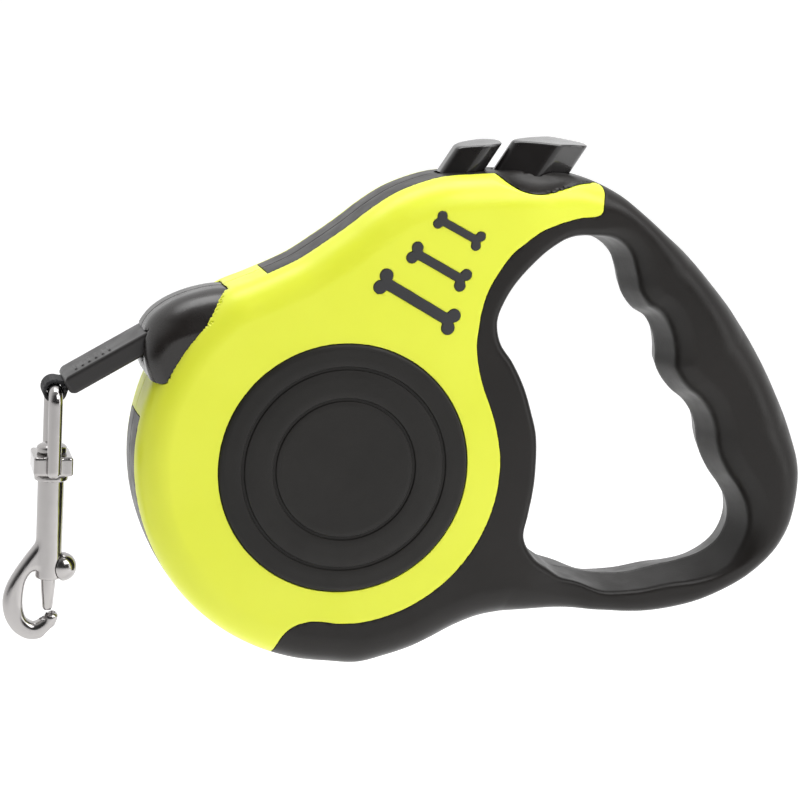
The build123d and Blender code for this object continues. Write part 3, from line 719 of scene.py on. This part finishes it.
def back_shell(x, y, z):
    """The other half, drawn on the front too, with the screws' recesses."""
    solid = shell(x, y, z)
    for sx, sz in SCREWS:
        out = np.hypot(x - sx, z - sz)
        head = np.maximum(out - SCREW_HEAD_R, y + 8.5)
        solid = np.maximum(solid, -np.minimum(head, out - SCREW_R))
    return solid


def bone_face(x, z, ends, lobe, shaft):
    """A bone's outline distance: a shaft and two lobes at each end."""
    left, right = ends
    (x0, z0), (x1, z1) = (((a[0][0] + a[1][0]) / 2, (a[0][1] + a[1][1]) / 2) for a in (left, right))
    length = math.hypot(x1 - x0, z1 - z0)
    ux, uz = (x1 - x0) / length, (z1 - z0) / length
    along = (x - (x0 + x1) / 2) * ux + (z - (z0 + z1) / 2) * uz
    side = -(x - (x0 + x1) / 2) * uz + (z - (z0 + z1) / 2) * ux
    total = np.maximum(np.abs(along) - length / 2, np.abs(side) - shaft / 2)
    for cx, cz in (*left, *right):
        total = soft_min(total, np.hypot(x - cx, z - cz) - lobe, 0.5)
    return total


BONES = [
    (((7.7, 46.6), (6.3, 43.8)), ((24.6, 37.4), (23.3, 34.4)), 1.6, 2.6),
    (((14.8, 53.4), (13.6, 51.0)), ((27.0, 47.2), (25.6, 44.6)), 1.35, 2.1),
    (((20.4, 61.0), (19.4, 59.2)), ((30.0, 56.4), (28.9, 54.2)), 1.15, 1.8),
]


def bones(x, z):
    """The three bones' outlines together."""
    total = None
    for left, right, lobe, shaft in BONES:
        one = bone_face(x, z, (left, right), lobe, shaft)
        total = one if total is None else np.minimum(total, one)
    return total


def cover(x, y, z):
    """The coloured cover on the front."""
    whole = scooped(form(x, y, z), x, y, z)
    solid = soft_max(whole, cover_zone(x, y, z) + GAP, 0.35)
    solid = np.maximum(solid, -(whole + WALL))
    for cut in (nozzle_form(x, y, z) - 0.16, channel(x, y, z)):
        solid = soft_max(solid, -cut, 0.3)
    disc = np.hypot(x, z) - CAP_R - 0.12
    inlay = np.maximum(bones(x, z) - 0.08, y + 14.0)
    solid = soft_max(solid, -disc, 0.3)
    solid = soft_max(solid, -inlay, 0.25)
    return soft_max(solid, y + 0.05, 0.3)


def inlays(x, y, z):
    """The bones, let into the cover's face and standing a little proud of it."""
    return rounded_edge(bones(x, z), np.abs(y + 14.65) - 0.6, 0.3)


def nozzle(x, y, z):
    """One half of the mouthpiece, on the front."""
    solid = nozzle_form(x, y, z)
    solid = soft_max(solid, -channel(x, y, z), 0.4)
    solid = np.maximum(solid, CAVITY_R + 0.3 - np.hypot(x, z))
    return soft_max(solid, y + 0.05, 0.35)


# ---- the casing's pieces --------------------------------------------------------------------------
def case_pieces():
    """Shells, covers, mouthpiece and bones: each is drawn on the front, and mirrored for the back."""
    low, high = (-53, -16.2, -53), (122, 1.2, 74.5)
    front = contour(shell, low, high, STEP)
    piece("front_shell", front, "black_shell", "casing", "front_case")
    back = flipped(contour(back_shell, low, high, STEP))
    piece("back_shell", back, "black_shell", "casing", "back_case")
    skin = contour(cover, (-53, -16.2, -53), (64, 1.2, 74.5), STEP)
    piece("cover_front", skin, "yellow_cover", "casing", "front_cover")
    piece("cover_back", flipped(skin), "yellow_cover", "casing", "back_cover")
    half = contour(nozzle, (-52, -13, 18), (-25, 1, 46.5), 0.4)
    piece("mouthpiece_front", half, "black_gloss", "casing", "nozzle_front")
    piece("mouthpiece_back", flipped(half), "black_gloss", "casing", "nozzle_back")
    marks = contour(inlays, (3, -16, 31), (33, -13.5, 64), 0.25)
    piece("bones_front", marks, "inlay", "casing", "front_bone_inlays")
    piece("bones_back", flipped(marks), "inlay", "casing", "back_bone_inlays")


case_pieces()


def along_y(mesh):
    """A mesh drawn about the upright axis, turned so that its top faces the front."""
    vertices, faces = mesh
    return np.column_stack((vertices[:, 0], -vertices[:, 2], vertices[:, 1])), faces


CAP_EDGE, CAP_CROWN = 15.45, 0.45
GROOVES = (16.9, 24.4)


def caps():
    """The centre caps: a low dome with a rounded rim and two fine grooves."""
    def height(r):
        return CAP_EDGE + CAP_CROWN * (1 - (r / CAP_R) ** 2)

    profile = [(0.001, height(0))] + [(r, height(r)) for r in (3, 6, 9, 12, 15)]
    for groove in GROOVES:
        profile += [(groove - 0.75, height(groove)), (groove - 0.5, height(groove) - 0.08),
                    (groove - 0.3, height(groove) - 0.5), (groove + 0.3, height(groove) - 0.5),
                    (groove + 0.5, height(groove) - 0.08), (groove + 0.75, height(groove))]
        profile += [(groove + d, height(groove + d)) for d in (2.5, 4.5)]
    profile += [(28.6, height(28.6))]
    profile += [(29.2 + math.sin(a), height(28.6) - 1 + math.cos(a))
                for a in np.radians((20, 40, 60, 75, 90))]
    profile += [(CAP_R, 13.5), (0.001, 13.5)]
    mesh = along_y(lathe(profile, 128))
    piece("cap_front", mesh, "black_cap", "casing", "front_cap", sharp=40)
    piece("cap_back", flipped(mesh), "black_cap", "casing", "back_cap", sharp=40)


caps()


# ---- buttons --------------------------------------------------------------------------------------
BRAKE_BASE, BRAKE_TOP, BRAKE_MIDDLE = 79.0, 78.5, 48
LOCK_BASE, LOCK_TOP, LOCK_MIDDLE = 71.4, 77.3, 32


def button_field(plan, base, top, slope, crown, middle):
    """A button's solid: its plan along the travel, with a sloped, crowned top and soft edges.
    The base is measured along the travel, and the top upright."""
    def field(x, y, z):
        across, up = across_buttons(x, z)
        side = convex(plan, across, y, 1.4)
        lid = z - top - slope * (x - middle) - 0.1 * y + crown * ((x - middle) / 9.0) ** 2
        return np.maximum(rounded_edge(side, lid, 0.5), base - up)
    return field


def buttons():
    """The brake's and the lock's buttons."""
    brake = contour(button_field(BRAKE, BRAKE_BASE, BRAKE_TOP, 0.0, 0.5, BRAKE_MIDDLE),
                    (30, -8, 60), (62, 8, 81), 0.3)
    piece("brake_thumb_button", brake, "button", "brake", "brake_button")
    lock = contour(button_field(LOCK, LOCK_BASE, LOCK_TOP, 0.12, 0.6, LOCK_MIDDLE),
                   (18, -6, 58), (40, 6, 80.5), 0.3)
    piece("lock_thumb_button", lock, "button", "lock", "lock_button")


buttons()


# ---- the tape's end -------------------------------------------------------------------------------
SLEEVE_MID = 14.9                   # back along the tape from the loop's middle
SLEEVE_HALF = (2.25, 7.3, 12.0)
RIBS, RIB_PITCH = 6, 1.8
TAPE_HALF_T, TAPE_HALF_W = 0.4, 6
STRIP_SPAN = (-29.2, -25.2)         # the bare tape between mouth and sleeve


def sleeve_field(x, y, z):
    """The stop sleeve: a flat block, bevelled at its end, with the tape's slot and six small ribs."""
    up, out = tape_way(x, z)
    body = brick(up, y, out + SLEEVE_MID, SLEEVE_HALF, 0.7)
    tip = soft_max(body, (out + 2.9) * 0.6 + (np.abs(up) - 1.4) * 0.8, 0.3)
    slot_hole = brick(up, y, out + SLEEVE_MID, (0.5, 6.15, 20.0))
    solid = np.maximum(tip, -slot_hole)
    for i in range(RIBS):
        rib = brick(up - 2.1, y + 1.6, out + 15.8 - RIB_PITCH * i, (0.42, 2.9, 0.36), 0.3)
        solid = soft_min(solid, rib, 0.12)
    return solid


def loop_field(x, y, z):
    """The tape's end: a ring round the eye's bar and the neck that runs into the sleeve."""
    up, out = tape_way(x, z)
    ring = np.abs(np.hypot(up, out) - 2.4) - 0.42
    neck = np.maximum(np.abs(up) - 1.15, np.maximum(out + 1.9, -8.0 - out))
    body = soft_min(ring, neck, 0.9)
    body = np.maximum(body, 1.95 - np.hypot(up, out))
    width = 3.8 + 0.5 * ramp(-out, 2, 5)
    return rounded_edge(body, np.abs(y) - width, 0.25)


def tape_point(up, y, out):
    """The place that is so far up off the tape's middle, across it and along it."""
    return (EYE_X - up * math.sin(SLOPE) - out * math.cos(SLOPE), y,
            EYE_Z + up * math.cos(SLOPE) - out * math.sin(SLOPE))


def tape_pieces():
    """The sleeve and the loop round the eye."""
    sleeve = contour(sleeve_field, (-70, -8.2, 12), (-38, 8.2, 40), 0.3)
    piece("sleeve", sleeve, "sleeve", "leash_end", "stop_sleeve")
    ring = contour(loop_field, (-72, -5, 11), (-56, 5, 25), 0.22)
    piece("tape_loop", ring, "tape", "leash_end", "tape_end")


def strip():
    """The bare tape between mouth and sleeve, as one fixed strip; the real tape pays out as the leash is
    pulled.
    """
    lay = np.linspace(*STRIP_SPAN, 9)
    section = [(TAPE_HALF_T, -TAPE_HALF_W), (TAPE_HALF_T, TAPE_HALF_W), (-TAPE_HALF_T, TAPE_HALF_W),
               (-TAPE_HALF_T, -TAPE_HALF_W)]
    verts = [tape_point(up, y, out) for out in lay for up, y in section]
    faces = []
    for i in range(len(lay) - 1):
        for k in range(4):
            a, b = 4 * i + k, 4 * i + (k + 1) % 4
            faces.append((a, a + 4, b + 4, b))
    faces += [(0, 1, 2, 3), (len(verts) - 1, len(verts) - 2, len(verts) - 3, len(verts) - 4)]
    data = bpy.data.meshes.new("tape_strip")
    data.from_pydata([tuple(v) for v in place(verts)], [], faces)
    data.materials.append(SLOTS["tape"])
    obj = bpy.data.objects.new("tape_strip", data)
    bpy.context.collection.objects.link(obj)
    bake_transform(obj)


tape_pieces()
strip()


# ---- the snap -------------------------------------------------------------------------------------
WIRE_R = 1.65                       # the eye's wire
EYE_BEND, EYE_SIDE = 2.6, 6.3       # the wire's corner radius, and its side's distance from the middle
BARREL_R, COLLAR_R, BORE_R = 3.15, 4.0, 1.9
BOLT_R, KNOB_R, KNOB_X, KNOB_Z = 1.8, 3.5, 3.2, -27.6
RIVET_R, RIVET_RISE = 3.6, 1.4


def rod(points, radius, x, y, z):
    """A round rod along a run of points."""
    best = None
    for a, b in zip(points, points[1:]):
        a, b = np.array(a, float), np.array(b, float)
        d = b - a
        t = np.clip(((x - a[0]) * d[0] + (y - a[1]) * d[1] + (z - a[2]) * d[2]) / (d @ d), 0, 1)
        near = np.sqrt((x - a[0] - t * d[0]) ** 2 + (y - a[1] - t * d[1]) ** 2
                       + (z - a[2] - t * d[2]) ** 2)
        best = near if best is None else np.minimum(best, near)
    return best - radius


def eye_field(x, y, z):
    """The eye: a square loop of wire on a block, bored for the rivet."""
    side = np.abs(y)
    bend = [(EYE_X, EYE_SIDE - EYE_BEND * (1 - math.sin(a)), EYE_Z - EYE_BEND * (1 - math.cos(a)))
            for a in np.radians(np.linspace(90, 0, 9))]
    wire = rod([(EYE_X, EYE_SIDE, -3.0)] + bend + [(EYE_X, 0, EYE_Z)], WIRE_R, x, side, z)
    block = brick(x - EYE_X, y, z + 2.0, (4.6, 5.9, 2.3), 0.7)
    solid = soft_min(wire, block, 0.7)
    return np.maximum(solid, 1.86 - np.hypot(x - EYE_X, y))


HOOK = smooth_loop(
    [(-67.7, -17.8), (-69.6, -19.2), (-70.9, -21.7), (-73.4, -25.2), (-75.9, -29), (-77.7, -32.6),
     (-78.4, -36.4), (-77.6, -40.4), (-75.2, -43.8), (-71.6, -45.5), (-68, -44.6), (-65.8, -41.8),
     (-65.2, -39.4), (-66.4, -38.6), (-68.3, -38.8), (-69.2, -40.3), (-70.8, -41.2), (-72.6, -40.2),
     (-73.5, -37.4), (-73.5, -34), (-72.9, -30.8), (-71.6, -28.9), (-69.5, -28.3), (-67.7, -28.2)])
hook_plan = Plan(HOOK, (-83.0, -50.0), (-60.0, -12.0), 0.2)


def snap_field(x, y, z):
    """Collar, barrel and hook in one casting, bored for the bolt and slotted for its knob."""
    out = np.hypot(x - EYE_X, y)
    barrel = rounded_edge(out - BARREL_R, np.abs(z + 17.9) - 12.4, 0.5)
    collar = rounded_edge(out - COLLAR_R, np.abs(z + 5.6) - 0.6, 0.35)
    hook = rounded_edge(hook_plan(x, z), np.abs(y) - 2.2, 1.75)
    solid = soft_min(np.minimum(barrel, collar), hook, 0.6)
    bore = np.maximum(out - BORE_R, z + 13.5)
    slot_cut = np.maximum(np.abs(y) - 1.0, np.maximum(EYE_X - x, np.abs(z + 23.3) - 7.6))
    return np.maximum(np.maximum(solid, -bore), -slot_cut)


def upright(profile):
    """A turned piece on the snap's axis."""
    vertices, faces = lathe(profile, 64)
    return vertices + (EYE_X, 0, 0), faces


def knob_field(x, y, z):
    """The bolt's ball knob, hollowed to clear the barrel, and the neck through the slot."""
    ball = np.sqrt((x - EYE_X - KNOB_X) ** 2 + y * y + (z - KNOB_Z) ** 2) - KNOB_R
    ball = soft_max(ball, BARREL_R + 0.15 - np.hypot(x - EYE_X, y), 0.3)
    neck = brick(x - EYE_X - 2.0, y, z - KNOB_Z, (2.0, 0.7, 1.4), 0.2)
    return np.minimum(ball, neck)


def snap_pieces():
    """The snap's four pieces."""
    eye = contour(eye_field, (-75, -9.2, -6), (-61, 9.2, 19), 0.3)
    piece("eye", eye, "chrome", "eye", "snap_eye")
    hook = contour(snap_field, (-80, -5, -47), (-62.5, 5, -5), 0.22)
    piece("snap_hook", hook, "chrome", "snap", "snap_body", sharp=35)
    dome = [(0.001, 2.9)] + [(RIVET_R * math.sin(a), 1.5 + RIVET_RISE * math.cos(a))
                             for a in np.radians(range(10, 91, 10))]
    rivet = upright(dome + [(RIVET_R, 0.7), (3.4, 0.5), (1.8, 0.5), (1.8, -5.9), (0.001, -5.9)])
    piece("rivet", rivet, "chrome", "snap", "swivel_rivet")
    nose = [(0.001, -22.0), (BOLT_R, -22.0), (BOLT_R, -31.0), (1.7, -32.5), (1.25, -37.6),
            (0.9, -38.2), (0.001, -38.4)]
    knob = contour(knob_field, (-69, -4.2, -32), (-60, 4.2, -23), 0.25)
    piece("bolt", joined(inside_out(upright(nose)), knob), "chrome", "bolt", "snap_bolt")


snap_pieces()
